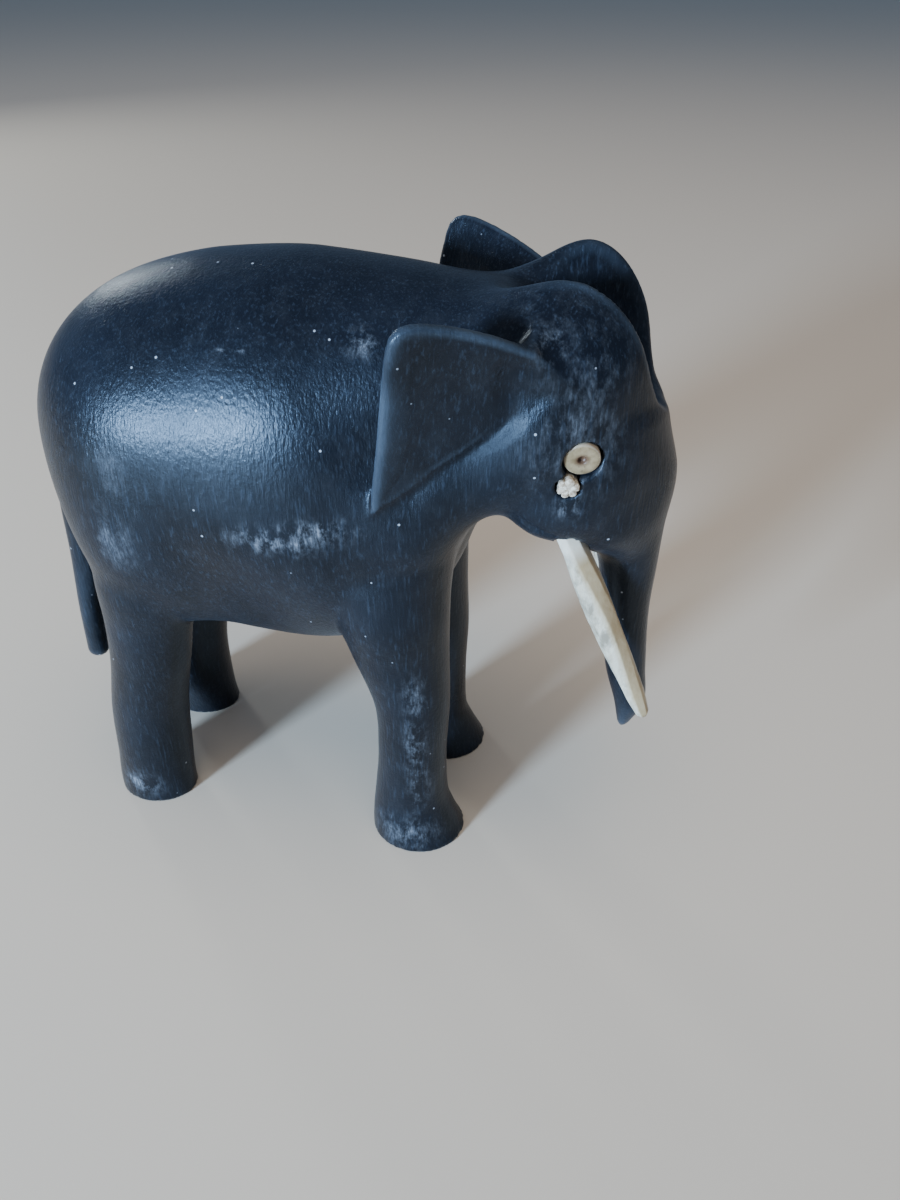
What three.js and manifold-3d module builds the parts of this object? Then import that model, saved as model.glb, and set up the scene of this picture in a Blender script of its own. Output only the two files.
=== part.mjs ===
// A small carved hardwood elephant with inlaid bone tusks and eyes.
// Millimetres, +Z up, +X towards the head, the elephant's right side towards -Y.
// The origin is on the floor, under the middle of the figure's box.

import * as THREE from 'three';
import { mergeVertices } from 'three/addons/utils/BufferGeometryUtils.js';
import Module from 'manifold-3d';

const wasm = await Module();
wasm.setup();

// Driving dimensions, in millimetres

const HEIGHT = 105;            // soles to the crown of the back; the carved form scales with it
const FIT_GAP = 0.3;           // air between an inlaid piece and the hole cut for it

const EYE_DIAMETER = 5;
const EYE_THICKNESS = 2.2;
const EYE_SINK = 0.5;          // how far the eye's face lies below the rim of its hole
const PUPIL_DIAMETER = 1.2;
const PUPIL_DEPTH = 0.7;

const PLUG_DIAMETER = 3;
const PLUG_LENGTH = 3.0;
const PLUG_PROUD = 0.6;        // how far the plug stands out of the cheek

const TUSK_ROOT_DIAMETER = 4.1;
const TUSK_GIRTH = 5;          // the tusk's widest, a third of the way down
const TUSK_TIP_DIAMETER = 2.4;
const TUSK_LENGTH = 42;
const TUSK_SOCKET_DEPTH = 6.5;
const TUSK_FACETS = 7;

// Fineness of the carved surface
const NET_STEP = 1.05;         // hundredths of HEIGHT, before thinning
const NET_FACES = 8300;
const NET_LOW = [-60, -30, -6];
const NET_HIGH = [56, 30, 106];
const BLOCK = 4;
const SETTLE_REACH = 0.15;
const CORNERS = [0, 1, 2, 3, 4, 5, 6, 7];
const CELL_SIDES = [0, 1, 2].flatMap((axis) => [0, 1 << axis].map((base) => {
  const across = 1 << (axis + 1) % 3;
  const up = 1 << (axis + 2) % 3;
  const ring = [base, base | across, base | across | up, base | up];
  const edges = ring.map((a, n) => (a & ring[(n + 1) % 4]) * 3 + Math.log2(a ^ ring[(n + 1) % 4]));
  return { ring, edges };
}));

// Carved form, in hundredths of HEIGHT
// A mass has its middle, its half sizes and the width over which it blends into what is there

const SHARE = HEIGHT / 100;
const RIGHT = -1;
const LEFT = 1;

const BARREL = { at: [-11.9, 0, 67.3], half: [31, 22, 30.7] };
const RUMP = { at: [-26.3, 0, 72.5], half: [19.1, 19, 19.3], blend: 7 };
const SHOULDER = { at: [1.2, 0, 68.2], half: [20, 19, 29], blend: 8 };
const HAUNCH = { at: [-28.3, 8.2, 58.5], half: [11.6, 11.8, 17.9], blend: 7 };
const NECK = { at: [13.2, 0, 82.7], half: [16.9, 14.8, 14.4], blend: 6 };
const BELLY_FACET = { out: 20.8, up: 60, normal: [0.91, -0.41], blend: 2.5 };

const SKULL = { at: [32.6, 0, 78.4], half: [13, 10.4, 9.8] };
const TEMPLE = { at: [32.4, 7.4, 86.2], half: [9.4, 7.6, 9.8], blend: 5 };
const RIGHT_DOME = { at: [33.8, 5.4, 87.2], half: [10.3, 5.4, 12.4], blend: 6 };
const LEFT_DOME = { at: [35, 5.8, 89.1], half: [9.4, 5.2, 12.8], blend: 6 };
const RIDGE = { at: [36.2, 3.4, 83.4], half: [8.2, 4.8, 9.6], blend: 3 };
const CHEEK = { at: [34.8, 8.2, 72.6], half: [9, 5.2, 7.4], blend: 7 };
const BROW = { at: [36.7, 0, 79.7], half: [8.8, 9.3, 8.9], blend: 4 };
const JAW = { at: [28.3, 0, 69.5], half: [7.1, 6.4, 5.7], blend: 1 };
const LIP = { start: [33.3, 7.2, 68.3], end: [40.4, 5.6, 65.4], radius: [4.8, 4.6], blend: 5 };
const HEAD_BLEND = 9;
const SULCUS = { at: [41.2, 0, 96.4], half: [21.6, 7.4, 10.5], along: slope(-40) };
const SULCUS_BLEND = { from: 4, by: -3, over: [26, 36] };
const SULCUS_FAR_BLEND = { from: 0, by: 2, over: [0, 4] };
const FOLD_BLEND = { from: 9, by: -5, over: [17, 25] };
const FOLD = { start: [14.5, 11.7, 67.4], end: [30.1, 9.5, 80.1], radius: [5.8, 6.8], blend: FOLD_BLEND };

// Each limb's stations run from the floor up: height, x, y, half length, half width
const FORE_LEG = [
  [-2.5, 15.1, 11.6, 9.3, 8.6],
  [0, 13.8, 11.6, 8.4, 7.6],
  [4.5, 12.9, 11.6, 7.3, 6.8],
  [9, 12.6, 11.6, 6.5, 6.1],
  [19, 13, 11.7, 5.9, 5.9],
  [30, 13.1, 11.3, 6.3, 6.2],
  [41, 11.2, 10.8, 8, 7.3],
  [51, 9.7, 10.4, 9.6, 8.9],
  [60, 8.9, 8.6, 10.6, 9.8],
  [70, 8.6, 4, 7.9, 7],
  [78, 8.5, 2, 4, 3],
];
const HIND_LEG = [
  [-2.5, -36, 12.4, 6.7, 6.6],
  [0, -37.6, 12.3, 7.2, 5.6],
  [10, -37.3, 11.1, 6.8, 6.6],
  [20, -36.4, 10.5, 6.8, 6.9],
  [32, -33.6, 10.8, 6.9, 6.9],
  [41, -31.7, 11.2, 7.4, 7.3],
  [51, -29.2, 10.7, 9.6, 8.8],
  [60, -26.9, 8.6, 11.6, 9.2],
  [70, -25, 3.9, 8, 6.5],
  [78, -24, 1.9, 4, 3],
];
const TRUNK = [
  [20.2, 47.8, 0, 0.4, 0.6],
  [23, 48.2, 0, 1.4, 1.8],
  [27, 48.5, 0, 2.6, 2.8],
  [34, 47.1, 0, 3.3, 3.3],
  [46, 45.5, 0, 3.9, 3.8],
  [55, 45, 0, 4.5, 4.6],
  [62, 43.8, 0, 5.8, 6.4],
  [72, 42.4, 0, 7.6, 8.4],
  [80, 38.9, 0, 8, 9.1],
];
const TAIL = [
  [19.5, -52.5, 0, 2, 1.8],
  [32, -51.1, 0, 2.1, 2.4],
  [44, -49.1, 0, 2.7, 2.4],
  [56, -47.3, 0, 3.5, 2.4],
  [68, -45.9, 0, 2.9, 2.2],
  [78, -43.4, 0, 2.1, 2],
];
const LIMB_ROUND = 2;
const LEG_BLEND = { from: 0.8, by: 6, over: [56, 68] };
const TRUNK_BLEND = 4;
const TAIL_BLEND = 0.8;
const LEFT_FORE_SET = { from: -0.3, by: -0.8, over: [0, 9] };
const LEFT_HIND_SET = -1.4;

// The ear is a plate in its own plane: u runs forwards, v upwards
const EAR_ROOT = [30.2, 14, 85];
const EAR_FORWARD = [0.885, -0.466, 0];
const EAR_UP = [0.116, 0.221, 0.968];
const EAR_OUTLINE = [
  [0.4, 4], [-0.8, 7.6], [-2.8, 9.3], [-5.4, 10.5], [-8.3, 11.6], [-11.3, 12.5],
  [-14.2, 13.1], [-16.1, 13.1], [-17.2, 12.6], [-18, 11.6], [-18.4, 10], [-18.7, 6.9],
  [-19, 1.8], [-19.3, -3.6], [-19.8, -10.3], [-20.2, -15.5], [-17.6, -14], [-15, -12.2],
  [-12.4, -9.8], [-9.8, -7.7], [-7.3, -5.9], [-4.8, -4], [-2.4, -1.6], [-0.7, 0.5],
];
const EAR_MIDDLE = [18, 19, 85];
const EAR_NEAR = 27;
const EAR_RIM = 1.5;
const EAR_EDGE_ROUND = 0.8;
const EAR_BACK_ROUND = 0.6;
const EAR_SWELL = { from: 0, by: 2.4, over: [-18, -4] };
const EAR_SWELL_INWARD = { from: 0, by: 1, over: [0, 5] };
const EAR_HOLLOW = { from: 0, by: 0.35, over: [0.4, 8] };
const EAR_FADE = { from: 0, by: 2, over: [-3.5, -0.5] };
const EAR_INSET = 0.2;
const EAR_TURN_IN = { from: 0, by: 1.6, over: [-6, 0] };
const EAR_TURN_LOW = { from: 0, by: 1, over: [0, 3] };
const EAR_TURN_HIGH = { from: 1, by: -1, over: [5, 9] };
const EAR_CREASE = 0.5;        // blend along the lower edge; towards the top of the root it softens
const EAR_SOFTENED = { from: 0, by: 1, over: [-1, 5] };
const EAR_WINDOW_BLEND = { from: 0, by: 5, over: [-7, -1] };
const EAR_CUT_BLEND = { from: 0, by: 2.5, over: [26, 31] };
const EAR_ROOT_BLEND = { from: 0, by: 5, over: [23, 31] };
const RIGHT_EAR_REACH = [1, 1];
const LEFT_EAR_REACH = [1.21, 1];

const EYE_PLACE = [37.4, 14.2, 78.2];
const EYE_LOOK = [0.2, 0.95, -0.2];
const PLUG_BEARING = [-0.38, 0, -0.93];
const TUSK_MOUTH = [36.8, 9.5, 63];
const TUSK_AIM = { [RIGHT]: [14.1, 0, -31.3], [LEFT]: [11.6, -0.5, -31.3] };
const SEAT_START = 5;
const SEAT_STRIDE = 0.1;
const DRILL_CLEAR = 3;

// Distance forms

function slope(degrees) {
  return [Math.sin(THREE.MathUtils.degToRad(degrees)), Math.cos(THREE.MathUtils.degToRad(degrees))];
}

function join(a, b, blend) {
  const h = Math.max(blend - Math.abs(a - b), 0) / blend;
  return Math.min(a, b) - (h * h * blend) / 4;
}

function meet(a, b, blend) {
  return -join(-a, -b, blend);
}

function cut(a, b, blend) {
  return meet(a, -b, blend);
}

// A value that changes smoothly from one level to another over a range
function eased({ from, by, over }, t) {
  const s = Math.min(Math.max((t - over[0]) / (over[1] - over[0]), 0), 1);
  return from + by * s * s * (3 - 2 * s);
}

function ellipsoid(p, { at, half, along = [0, 1] }, side = 1) {
  const [a, b, c] = half;
  const dx = p[0] - at[0];
  const dz = p[2] - at[2];
  const [rise, run] = along;
  const x = dx * run + dz * rise;
  const y = p[1] - at[1] * side;
  const z = dz * run - dx * rise;
  const reach = Math.hypot(x / a, y / b, z / c);
  const steep = Math.hypot(x / (a * a), y / (b * b), z / (c * c));
  return steep < 1e-9 ? -Math.min(a, b, c) : (reach * (reach - 1)) / steep;
}

// A tapering roll with round ends
function roll(p, { start, end, radius }, side) {
  const along = end.map((value, n) => value - start[n]);
  const rel = [p[0] - start[0], p[1] * side - start[1], p[2] - start[2]];
  const t = Math.min(Math.max(dot(rel, along) / dot(along, along), 0), 1);
  const away = Math.hypot(rel[0] - along[0] * t, rel[1] - along[1] * t, rel[2] - along[2] * t);
  return away - radius[0] - (radius[1] - radius[0]) * t;
}

function stationAt(stations, height) {
  const last = stations.length - 1;
  if (height <= stations[0][0]) return stations[0];
  if (height >= stations[last][0]) return stations[last];
  let i = 0;
  while (stations[i + 1][0] < height) i += 1;
  const before = stations[Math.max(i - 1, 0)];
  const from = stations[i];
  const to = stations[i + 1];
  const after = stations[Math.min(i + 2, last)];
  const span = to[0] - from[0];
  const t = (height - from[0]) / span;
  const out = [height, 0, 0, 0, 0];
  for (let k = 1; k < 5; k += 1) {
    const slopeFrom = ((to[k] - before[k]) / (to[0] - before[0])) * span;
    const slopeTo = ((after[k] - from[k]) / (after[0] - from[0])) * span;
    const rise = to[k] - from[k];
    const bend = 3 * rise - 2 * slopeFrom - slopeTo;
    const twist = slopeFrom + slopeTo - 2 * rise;
    out[k] = from[k] + t * (slopeFrom + t * (bend + t * twist));
  }
  return out;
}

function limb(p, stations, side = 1, shift = 0) {
  const [, cx, cy, rx, ry] = stationAt(stations, p[2]);
  const x = p[0] - cx - shift;
  const y = p[1] - cy * side;
  const reach = Math.hypot(x / rx, y / ry);
  const steep = Math.hypot(x / (rx * rx), y / (ry * ry));
  const across = steep < 1e-9 ? -Math.min(rx, ry) : (reach * (reach - 1)) / steep;
  const below = stations[0][0] - p[2];
  const above = p[2] - stations[stations.length - 1][0];
  return meet(across, Math.max(below, above), LIMB_ROUND);
}

function outlineDistance(points, u, v) {
  let nearest = Infinity;
  let inside = false;
  points.forEach(([u1, v1], i) => {
    const [u0, v0] = points[(i + points.length - 1) % points.length];
    const du = u1 - u0;
    const dv = v1 - v0;
    const t = Math.min(Math.max(((u - u0) * du + (v - v0) * dv) / (du * du + dv * dv), 0), 1);
    nearest = Math.min(nearest, Math.hypot(u - u0 - du * t, v - v0 - dv * t));
    if (v0 > v !== v1 > v && u < u0 + (du * (v - v0)) / dv) inside = !inside;
  });
  return inside ? -nearest : nearest;
}

// The body is cut back to the ear's face inside its outline, and the plate is joined on
function withEar(body, p, side, reach) {
  const away = [p[0] - EAR_MIDDLE[0], p[1] * side - EAR_MIDDLE[1], p[2] - EAR_MIDDLE[2]];
  if (Math.hypot(...away) > EAR_NEAR) return body;
  const rel = [p[0] - EAR_ROOT[0], p[1] * side - EAR_ROOT[1], p[2] - EAR_ROOT[2]];
  const u = dot(rel, EAR_FORWARD) / reach[0];
  const v = dot(rel, EAR_UP) / reach[1];
  const out = dot(rel, crossOf(EAR_UP, EAR_FORWARD));
  const edge = outlineDistance(EAR_OUTLINE, u, v);
  const turnIn = eased(EAR_TURN_IN, u) * eased(EAR_TURN_LOW, v) * eased(EAR_TURN_HIGH, v);
  const face = out + eased(EAR_HOLLOW, -edge) + turnIn;
  const back = -out - EAR_RIM - eased(EAR_SWELL, u) * eased(EAR_SWELL_INWARD, -edge);
  const soft = eased(EAR_SOFTENED, v);
  const faded = eased(EAR_FADE, u) - face;
  const window = meet(edge + EAR_INSET, faded, EAR_CREASE + eased(EAR_WINDOW_BLEND, u) * soft);
  const plate = meet(edge, meet(face, back, EAR_BACK_ROUND), EAR_EDGE_ROUND);
  const opened = cut(body, window, EAR_CREASE + eased(EAR_CUT_BLEND, p[0]) * soft);
  return join(opened, plate, EAR_CREASE + eased(EAR_ROOT_BLEND, p[0]) * soft);
}

function trunkAndLegs(p) {
  const [, y, z] = p;
  const { out, up, normal } = BELLY_FACET;
  const facet = (Math.abs(y) - out) * normal[0] + (z - up) * normal[1];
  const mass = (body, form, side) => join(body, ellipsoid(p, form, side), form.blend);
  let body = meet(ellipsoid(p, BARREL), facet, BELLY_FACET.blend);
  body = mass(body, RUMP);
  body = mass(body, HAUNCH, RIGHT);
  body = mass(body, HAUNCH, LEFT);
  body = mass(body, SHOULDER);
  const crease = eased(LEG_BLEND, z);
  for (const side of [RIGHT, LEFT]) {
    const foreSet = side === LEFT ? eased(LEFT_FORE_SET, z) : 0;
    const hindSet = side === LEFT ? LEFT_HIND_SET : 0;
    body = join(body, limb(p, FORE_LEG, side, foreSet), crease);
    body = join(body, limb(p, HIND_LEG, side, hindSet), crease);
  }
  return mass(body, NECK);
}

function headForm(p) {
  const mass = (body, form, side) => join(body, ellipsoid(p, form, side), form.blend);
  let head = ellipsoid(p, SKULL);
  for (const side of [RIGHT, LEFT]) {
    head = mass(head, side === RIGHT ? RIGHT_DOME : LEFT_DOME, side);
    head = mass(head, TEMPLE, side);
    head = mass(head, CHEEK, side);
    head = mass(head, RIDGE, side);
  }
  head = mass(head, BROW);
  head = join(head, limb(p, TRUNK), TRUNK_BLEND);
  head = join(head, roll(p, LIP, RIGHT), LIP.blend);
  head = join(head, roll(p, LIP, LEFT), LIP.blend);
  return mass(head, JAW);
}

function figure(p) {
  const [x, y] = p;
  let body = join(trunkAndLegs(p), headForm(p), HEAD_BLEND);
  body = join(body, roll(p, FOLD, RIGHT), eased(FOLD.blend, x));
  body = join(body, roll(p, FOLD, LEFT), eased(FOLD.blend, x));
  body = cut(body, ellipsoid(p, SULCUS), eased(SULCUS_BLEND, x) + eased(SULCUS_FAR_BLEND, y));
  body = join(body, limb(p, TAIL), TAIL_BLEND);
  body = withEar(body, p, RIGHT, RIGHT_EAR_REACH);
  return withEar(body, p, LEFT, LEFT_EAR_REACH);
}

// Net of faces over the zero level of a distance form

function skin(form, low, high, step) {
  const count = low.map((from, n) => Math.ceil((high[n] - from) / step / BLOCK) * BLOCK);
  const strides = [count[1] * count[2], count[2], 1];
  const at = (i, j, k) => i * strides[0] + j * strides[1] + k;
  const spot = (i, j, k) => [low[0] + i * step, low[1] + j * step, low[2] + k * step];
  const value = new Float64Array(count[0] * strides[0]);
  const near = [];
  const middle = (BLOCK - 1) / 2;
  for (let i = 0; i < count[0]; i += BLOCK) {
    for (let j = 0; j < count[1]; j += BLOCK) {
      for (let k = 0; k < count[2]; k += BLOCK) {
        const centre = form(spot(i + middle, j + middle, k + middle));
        const close = Math.abs(centre) < BLOCK * step * 1.5;
        for (let n = 0; n < BLOCK ** 3; n += 1) {
          const [di, dj, dk] = [n % BLOCK, Math.floor(n / BLOCK) % BLOCK, Math.floor(n / BLOCK ** 2)];
          const node = at(i + di, j + dj, k + dk);
          value[node] = close ? form(spot(i + di, j + dj, k + dk)) : centre;
          if (close) near.push([i + di, j + dj, k + dk]);
        }
      }
    }
  }
  const offset = CORNERS.map((n) => at(n & 1, (n >> 1) & 1, (n >> 2) & 1));
  const places = [];
  const vertexOf = new Map();
  for (const [i, j, k] of near) {
    const here = at(i, j, k);
    const level = CORNERS.map((n) => value[here + offset[n]]);
    if (level.every((v) => v < 0) || level.every((v) => v >= 0)) continue;
    for (const sheet of sheets(level)) {
      const sum = [0, 0, 0];
      for (const [a, axis] of sheet) {
        const t = level[a] / (level[a] - level[a | (1 << axis)]);
        const hit = [i + (a & 1), j + ((a >> 1) & 1), k + ((a >> 2) & 1)];
        hit[axis] += t;
        spot(...hit).forEach((s, n) => { sum[n] += s / sheet.length; });
        vertexOf.set((here * 8 + a) * 3 + axis, places.length);
      }
      places.push(sum);
    }
  }
  const faces = [];
  for (const [i, j, k] of near) {
    const here = at(i, j, k);
    for (let axis = 0; axis < 3; axis += 1) {
      const inside = value[here] < 0;
      if (inside === value[here + strides[axis]] < 0) continue;
      const u = (axis + 1) % 3;
      const v = (axis + 2) % 3;
      const ring = [[1, 1], [0, 1], [0, 0], [1, 0]].map(([p, q]) => {
        const cell = here - p * strides[u] - q * strides[v];
        return vertexOf.get((cell * 8 + (p << u) + (q << v)) * 3 + axis);
      });
      if (!inside) ring.reverse();
      const [a, b, c, d] = ring;
      faces.push([a, b, c], [a, c, d]);
    }
  }
  return { places, faces };
}

// The separate sheets of surface inside one cell, each a list of the cell edges that it crosses
function sheets(level) {
  const crossed = new Map();
  for (const a of CORNERS) {
    for (let axis = 0; axis < 3; axis += 1) {
      if (a & (1 << axis)) continue;
      if (level[a] < 0 !== level[a | (1 << axis)] < 0) crossed.set(a * 3 + axis, a * 3 + axis);
    }
  }
  if (crossed.size === 0) return [];
  const top = (key) => (crossed.get(key) === key ? key : top(crossed.get(key)));
  for (const { ring, edges } of CELL_SIDES) {
    const hit = edges.filter((key) => crossed.has(key));
    if (hit.length === 2) crossed.set(top(hit[0]), top(hit[1]));
    if (hit.length < 4) continue;
    ring.forEach((a, n) => {
      if (level[a] < 0) crossed.set(top(edges[n]), top(edges[(n + 3) % 4]));
    });
  }
  const groups = new Map();
  for (const key of crossed.keys()) {
    const name = top(key);
    if (!groups.has(name)) groups.set(name, []);
    groups.get(name).push([Math.floor(key / 3), key % 3]);
  }
  return [...groups.values()];
}

// Edges are collapsed, cheapest first, until the net has the wanted number of faces

function thin(places, faces, wanted) {
  const at = places.map((p) => p.slice());
  const around = places.map(() => new Set());
  const alive = faces.map((f) => f.slice());
  const quadric = places.map(() => new Float64Array(10));
  alive.forEach((face, n) => {
    const { normal, area } = facing(face.map((v) => at[v]));
    const offset = -dot(normal, at[face[0]]);
    const [a, b, c, d] = [...normal, offset];
    const terms = [a * a, a * b, a * c, a * d, b * b, b * c, b * d, c * c, c * d, d * d];
    for (const v of face) {
      around[v].add(n);
      terms.forEach((term, m) => { quadric[v][m] += term * area; });
    }
  });
  const stamp = new Uint32Array(places.length);
  const heap = new Heap();
  const offer = (v, w) => {
    const q = quadric[v].map((term, m) => term + quadric[w][m]);
    const spot = cheapestSpot(q, at[v], at[w]);
    const length = Math.hypot(...at[v].map((s, m) => s - at[w][m]));
    heap.push({ cost: quadricAt(q, spot) + 1e-4 * length * length, v, w, spot, mark: stamp[v] + stamp[w] });
  };
  const ringOf = (v) => {
    const ring = new Set();
    for (const n of around[v]) for (const w of alive[n]) if (w !== v) ring.add(w);
    return ring;
  };
  alive.forEach(([a, b, c]) => {
    if (a < b) offer(a, b);
    if (b < c) offer(b, c);
    if (c < a) offer(c, a);
  });
  let left = alive.length;
  while (left > wanted && heap.items.length) {
    const { v, w, spot, mark } = heap.pop();
    if (!at[v] || !at[w] || stamp[v] + stamp[w] !== mark) continue;
    const ringW = ringOf(w);
    const shared = [...ringOf(v)].filter((n) => ringW.has(n));
    if (shared.length !== 2) continue;
    const kept = [...around[v], ...around[w]].filter((n) => !(alive[n].includes(v) && alive[n].includes(w)));
    const turned = kept.some((n) => {
      const before = facing(alive[n].map((m) => at[m]));
      const after = facing(alive[n].map((m) => (m === v || m === w ? spot : at[m])));
      return after.area < 1e-6 || dot(before.normal, after.normal) < 0.3 || after.sliver;
    });
    if (turned) continue;
    for (const n of [...around[w]]) {
      if (alive[n].includes(v)) {
        for (const m of alive[n]) around[m].delete(n);
        alive[n] = null;
        left -= 1;
      } else {
        alive[n] = alive[n].map((m) => (m === w ? v : m));
        around[v].add(n);
      }
    }
    at[v] = spot;
    at[w] = null;
    quadric[w].forEach((term, m) => { quadric[v][m] += term; });
    stamp[v] += 1;
    for (const m of ringOf(v)) offer(v, m);
  }
  const renumber = new Map();
  at.forEach((p, n) => { if (p && around[n].size) renumber.set(n, renumber.size); });
  return {
    places: [...renumber.keys()].map((n) => at[n]),
    faces: alive.filter((face) => face).map((face) => face.map((n) => renumber.get(n))),
  };
}

class Heap {
  constructor() {
    this.items = [];
  }

  push(item) {
    const { items } = this;
    let n = items.length;
    items.push(item);
    while (n > 0) {
      const up = (n - 1) >> 1;
      if (items[up].cost <= item.cost) break;
      items[n] = items[up];
      n = up;
    }
    items[n] = item;
  }

  pop() {
    const { items } = this;
    const best = items[0];
    const last = items.pop();
    if (items.length === 0) return best;
    let n = 0;
    for (;;) {
      let down = 2 * n + 1;
      if (down >= items.length) break;
      if (down + 1 < items.length && items[down + 1].cost < items[down].cost) down += 1;
      if (items[down].cost >= last.cost) break;
      items[n] = items[down];
      n = down;
    }
    items[n] = last;
    return best;
  }
}

function dot(p, q) {
  return p[0] * q[0] + p[1] * q[1] + p[2] * q[2];
}

function crossOf(p, q) {
  return [p[1] * q[2] - p[2] * q[1], p[2] * q[0] - p[0] * q[2], p[0] * q[1] - p[1] * q[0]];
}

function facing([p, q, r]) {
  const e = [q[0] - p[0], q[1] - p[1], q[2] - p[2]];
  const f = [r[0] - p[0], r[1] - p[1], r[2] - p[2]];
  const cross = crossOf(e, f);
  const size = Math.hypot(...cross);
  const longest = Math.max(dot(e, e), dot(f, f));
  const normal = size > 0 ? cross.map((s) => s / size) : [0, 0, 0];
  return { normal, area: size / 2, sliver: size < 0.02 * longest };
}

function quadricAt(q, [x, y, z]) {
  return q[0] * x * x + 2 * q[1] * x * y + 2 * q[2] * x * z + 2 * q[3] * x
    + q[4] * y * y + 2 * q[5] * y * z + 2 * q[6] * y + q[7] * z * z + 2 * q[8] * z + q[9];
}

function cheapestSpot(q, p, r) {
  const middle = p.map((s, n) => (s + r[n]) / 2);
  const matrix = new THREE.Matrix3().set(q[0], q[1], q[2], q[1], q[4], q[5], q[2], q[5], q[7]);
  const size = q[0] + q[4] + q[7];
  const spots = [p, r, middle];
  if (Math.abs(matrix.determinant()) > 1e-4 * size ** 3) {
    const best = new THREE.Vector3(-q[3], -q[6], -q[8]).applyMatrix3(matrix.invert());
    const reach = Math.hypot(...p.map((s, n) => s - r[n]));
    const away = Math.hypot(best.x - middle[0], best.y - middle[1], best.z - middle[2]);
    if (away < 1.5 * reach) spots.push(best.toArray());
  }
  return spots.reduce((a, b) => (quadricAt(q, b) < quadricAt(q, a) ? b : a));
}

// A vertex is drawn onto the surface along the form's slope, by no more than the stated reach
function settle(form, start, reach) {
  const h = 0.02;
  const d = form(start);
  const slope = [0, 1, 2].map((k) => {
    const q = start.slice();
    q[k] += h;
    return (form(q) - d) / h;
  });
  const move = Math.min(Math.max(d / Math.max(dot(slope, slope), 0.3), -reach), reach);
  return start.map((value, k) => value - move * slope[k]);
}

// Solids

function solid(vertices, faces) {
  return new wasm.Manifold(new wasm.Mesh({
    numProp: 3,
    vertProperties: Float32Array.from(vertices),
    triVerts: Uint32Array.from(faces),
  }));
}

function solidOf(geometry) {
  const bare = geometry.index ? geometry : geometry.clone();
  bare.deleteAttribute('normal');
  bare.deleteAttribute('uv');
  const merged = mergeVertices(bare, 1e-4);
  return solid(merged.attributes.position.array, merged.index.array);
}

function meshOf(name, manifold, finish) {
  const { vertProperties, triVerts } = manifold.getMesh();
  const geometry = new THREE.BufferGeometry();
  geometry.setAttribute('position', new THREE.BufferAttribute(Float32Array.from(vertProperties), 3));
  geometry.setIndex(new THREE.BufferAttribute(Uint32Array.from(triVerts), 1));
  geometry.computeVertexNormals();
  const mesh = new THREE.Mesh(geometry, new THREE.MeshStandardMaterial({ ...finish, metalness: 0 }));
  mesh.name = name;
  return mesh;
}

function carvedBlock() {
  const fine = skin(figure, NET_LOW, NET_HIGH, NET_STEP);
  const net = thin(fine.places, fine.faces, NET_FACES);
  const places = net.places.map((p) => settle(figure, p, SETTLE_REACH));
  return solid(places.flat().map((value) => value * SHARE), net.faces.flat());
}

function toMillimetres(place, side) {
  return new THREE.Vector3(place[0], place[1] * side, place[2]).multiplyScalar(SHARE);
}

// The spot where a line through a place, along a direction, leaves the carved surface
function seatAt(place, out) {
  const stride = SEAT_STRIDE * SHARE;
  const depthAt = (spot) => figure(spot.clone().divideScalar(SHARE).toArray());
  const at = place.clone().addScaledVector(out, SEAT_START * SHARE);
  while (depthAt(at) > 0) at.addScaledVector(out, -stride);
  return { at: at.addScaledVector(out, stride / 2), out };
}

// A geometry made along +Y from its own origin is laid along a direction from a spot
function lay(geometry, at, direction) {
  const turn = new THREE.Quaternion().setFromUnitVectors(new THREE.Vector3(0, 1, 0), direction);
  return geometry.applyQuaternion(turn).translate(at.x, at.y, at.z);
}

function turned(profile, facets) {
  return new THREE.LatheGeometry(profile.map(([radius, height]) => new THREE.Vector2(radius, height)), facets);
}

function hole(diameter, depth, seat, sides) {
  const radius = diameter / 2 + FIT_GAP;
  const drill = new THREE.CylinderGeometry(radius, radius, depth + FIT_GAP + DRILL_CLEAR, sides);
  drill.translate(0, (DRILL_CLEAR - depth - FIT_GAP) / 2, 0);
  return solidOf(lay(drill, seat.at, seat.out));
}

function eyeSeat(side) {
  return seatAt(toMillimetres(EYE_PLACE, side), toMillimetres(EYE_LOOK, side).normalize());
}

function eye(side) {
  const seat = eyeSeat(side);
  const rim = EYE_DIAMETER / 2;
  const pupil = PUPIL_DIAMETER / 2;
  const face = -EYE_SINK;
  const back = face - EYE_THICKNESS;
  const profile = [
    [0, back], [rim, back], [rim, face], [pupil, face],
    [pupil * 0.8, face - PUPIL_DEPTH], [0, face - PUPIL_DEPTH],
  ];
  return solidOf(lay(turned(profile, 24), seat.at, seat.out));
}

function plugSeat(side) {
  const { at, out } = eyeSeat(side);
  const apart = EYE_DIAMETER / 2 + PLUG_DIAMETER / 2 + FIT_GAP;
  return seatAt(at.add(new THREE.Vector3(...PLUG_BEARING).normalize().multiplyScalar(apart)), out);
}

function plug(side) {
  const seat = plugSeat(side);
  const radius = PLUG_DIAMETER / 2;
  const top = PLUG_PROUD;
  const bottom = top - PLUG_LENGTH;
  const profile = [[0, bottom], [radius, bottom], [radius, top * 0.3], [radius * 0.7, top], [0, top]];
  return solidOf(lay(turned(profile, 11), seat.at, seat.out));
}

function tuskSeat(side) {
  const aim = toMillimetres(TUSK_AIM[side], side).normalize();
  return { at: toMillimetres(TUSK_MOUTH, side), aim, out: aim };
}

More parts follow.
